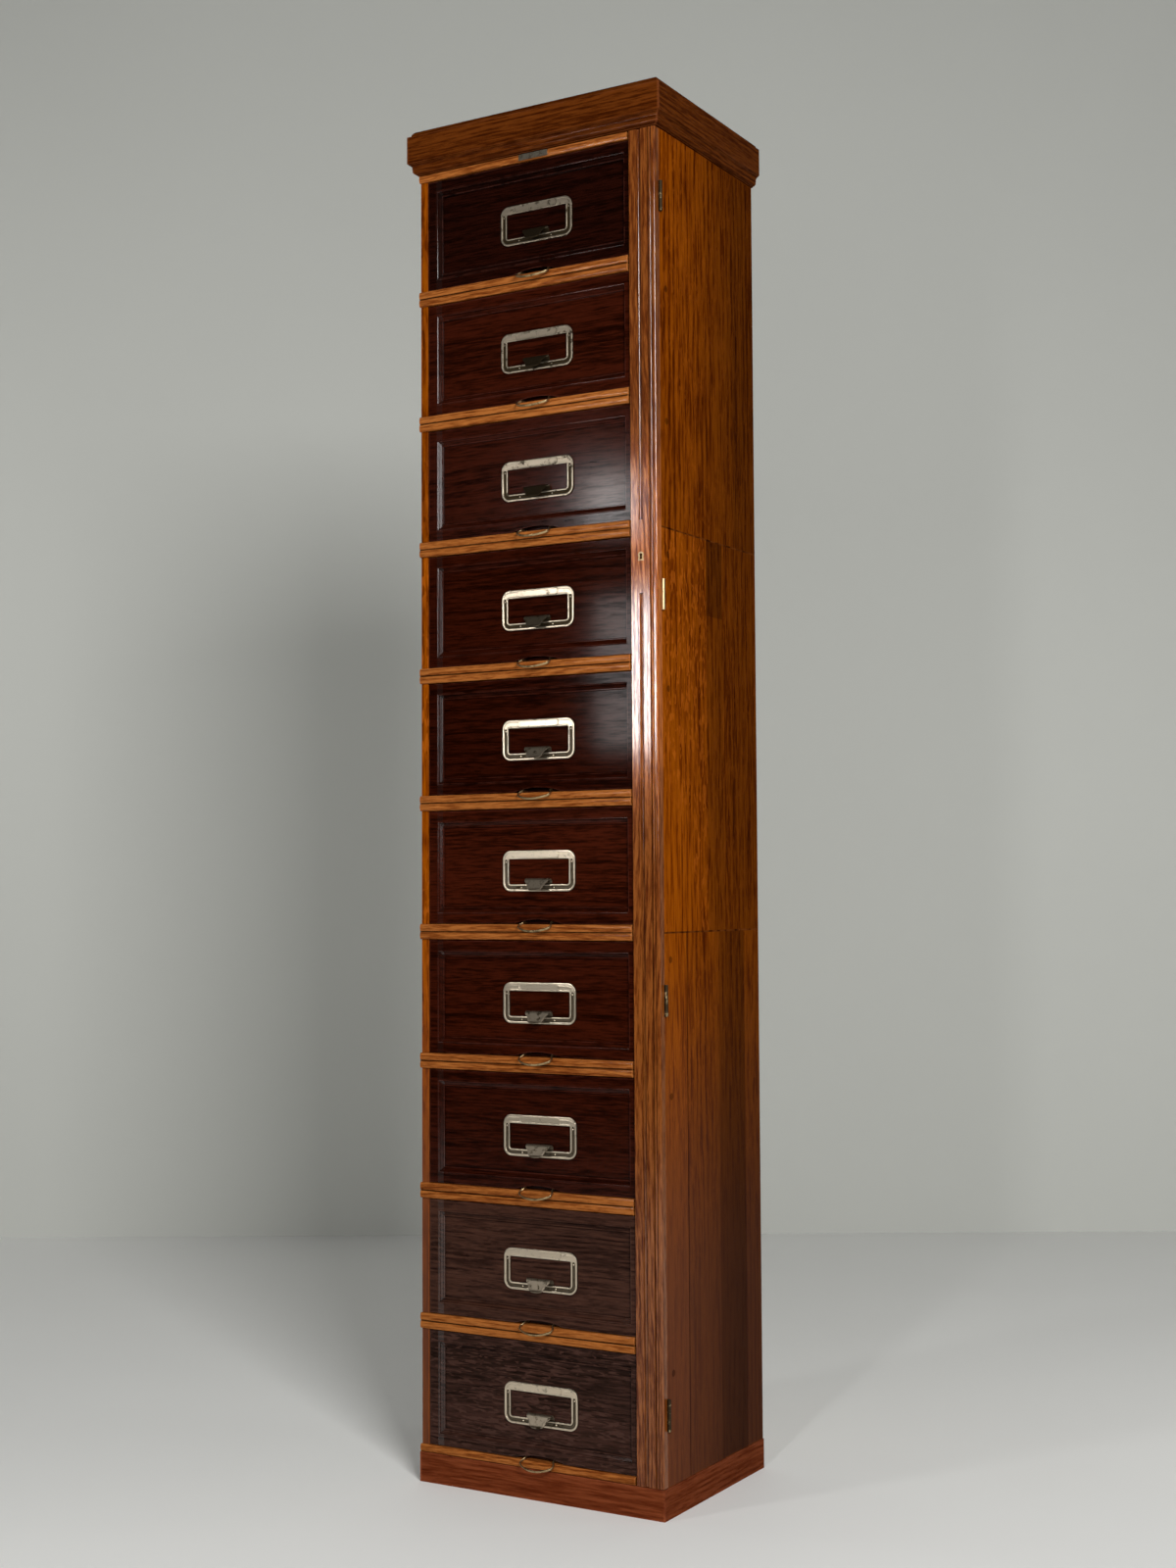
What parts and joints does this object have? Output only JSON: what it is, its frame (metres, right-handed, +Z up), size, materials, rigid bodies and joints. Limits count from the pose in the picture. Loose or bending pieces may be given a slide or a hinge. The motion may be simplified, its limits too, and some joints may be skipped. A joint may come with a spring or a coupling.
{
  "type": "filing chest of drawers",
  "caption": "Tall narrow oak filing chest of shallow drawers in stacked sections, with label frames, wire loop pulls, and a full-height hinged lock stile beside the drawers",
  "frame": {"origin": "centre of the chest's bounding box, on the floor under the plinth", "axes": "the drawer fronts face -Y, X runs to the viewer's right, +Z is up"},
  "size_m": [0.425, 0.3204, 1.9735],
  "materials": {
    "oak_case": "satin varnish over stained oak",
    "oak_front": "glossy dark stained oak",
    "oak_inside": "bare secondary wood",
    "nickel": "aged plate",
    "wire": "worn wire",
    "brass": "aged brass",
    "lock_iron": "dull"
  },
  "bodies": {
    "carcass": {"plinth_boards": "oak_case", "side_panels_left": "oak_case", "side_panels_right": "oak_case", "back_panels": "oak_inside", "front_rails": "oak_case", "dust_boards": "oak_inside", "drawer_runners": "oak_inside", "drawer_stops": "oak_inside", "guide_post": "oak_inside", "cornice_moulding": "oak_case", "top_board": "oak_case", "blank_plate": "nickel", "strike_plate": "lock_iron", "hinge_side_leaves": "brass"},
    "drawer_01": {"drawer_01_front": "oak_front", "drawer_01_box": "oak_inside", "drawer_01_label_frame": "nickel", "drawer_01_loop_pull": "wire"},
    "drawer_02": {"drawer_02_front": "oak_front", "drawer_02_box": "oak_inside", "drawer_02_label_frame": "nickel", "drawer_02_loop_pull": "wire"},
    "drawer_03": {"drawer_03_front": "oak_front", "drawer_03_box": "oak_inside", "drawer_03_label_frame": "nickel", "drawer_03_loop_pull": "wire"},
    "drawer_04": {"drawer_04_front": "oak_front", "drawer_04_box": "oak_inside", "drawer_04_label_frame": "nickel", "drawer_04_loop_pull": "wire"},
    "drawer_05": {"drawer_05_front": "oak_front", "drawer_05_box": "oak_inside", "drawer_05_label_frame": "nickel", "drawer_05_loop_pull": "wire"},
    "drawer_06": {"drawer_06_front": "oak_front", "drawer_06_box": "oak_inside", "drawer_06_label_frame": "nickel", "drawer_06_loop_pull": "wire"},
    "drawer_07": {"drawer_07_front": "oak_front", "drawer_07_box": "oak_inside", "drawer_07_label_frame": "nickel", "drawer_07_loop_pull": "wire"},
    "drawer_08": {"drawer_08_front": "oak_front", "drawer_08_box": "oak_inside", "drawer_08_label_frame": "nickel", "drawer_08_loop_pull": "wire"},
    "drawer_09": {"drawer_09_front": "oak_front", "drawer_09_box": "oak_inside", "drawer_09_label_frame": "nickel", "drawer_09_loop_pull": "wire"},
    "drawer_10": {"drawer_10_front": "oak_front", "drawer_10_box": "oak_inside", "drawer_10_label_frame": "nickel", "drawer_10_loop_pull": "wire"},
    "lock_stile": {"lock_stile": "oak_case", "hinge_stile_leaves": "brass", "keyhole_escutcheon": "brass", "lock_case": "lock_iron"},
    "lock_bolt": {"lock_bolt": "lock_iron"}
  },
  "joints": [
    {"name": "drawer_01_slide", "type": "slide", "parent": "carcass", "child": "drawer_01", "axis": [0, -1, 0], "range_m": [0, 0.23]},
    {"name": "drawer_02_slide", "type": "slide", "parent": "carcass", "child": "drawer_02", "axis": [0, -1, 0], "range_m": [0, 0.23]},
    {"name": "drawer_03_slide", "type": "slide", "parent": "carcass", "child": "drawer_03", "axis": [0, -1, 0], "range_m": [0, 0.23]},
    {"name": "drawer_04_slide", "type": "slide", "parent": "carcass", "child": "drawer_04", "axis": [0, -1, 0], "range_m": [0, 0.23]},
    {"name": "drawer_05_slide", "type": "slide", "parent": "carcass", "child": "drawer_05", "axis": [0, -1, 0], "range_m": [0, 0.23]},
    {"name": "drawer_06_slide", "type": "slide", "parent": "carcass", "child": "drawer_06", "axis": [0, -1, 0], "range_m": [0, 0.23]},
    {"name": "drawer_07_slide", "type": "slide", "parent": "carcass", "child": "drawer_07", "axis": [0, -1, 0], "range_m": [0, 0.23]},
    {"name": "drawer_08_slide", "type": "slide", "parent": "carcass", "child": "drawer_08", "axis": [0, -1, 0], "range_m": [0, 0.23]},
    {"name": "drawer_09_slide", "type": "slide", "parent": "carcass", "child": "drawer_09", "axis": [0, -1, 0], "range_m": [0, 0.23]},
    {"name": "drawer_10_slide", "type": "slide", "parent": "carcass", "child": "drawer_10", "axis": [0, -1, 0], "range_m": [0, 0.23]},
    {"name": "stile_hinge", "type": "hinge", "parent": "carcass", "child": "lock_stile", "pos_m": [0.201, -0.13245, 0], "axis": [0, 0, 1], "range_deg": [0, 175]},
    {"name": "bolt_slide", "type": "slide", "parent": "lock_stile", "child": "lock_bolt", "axis": [-1, 0, 0], "range_m": [0, 0.0045]}
  ]
}
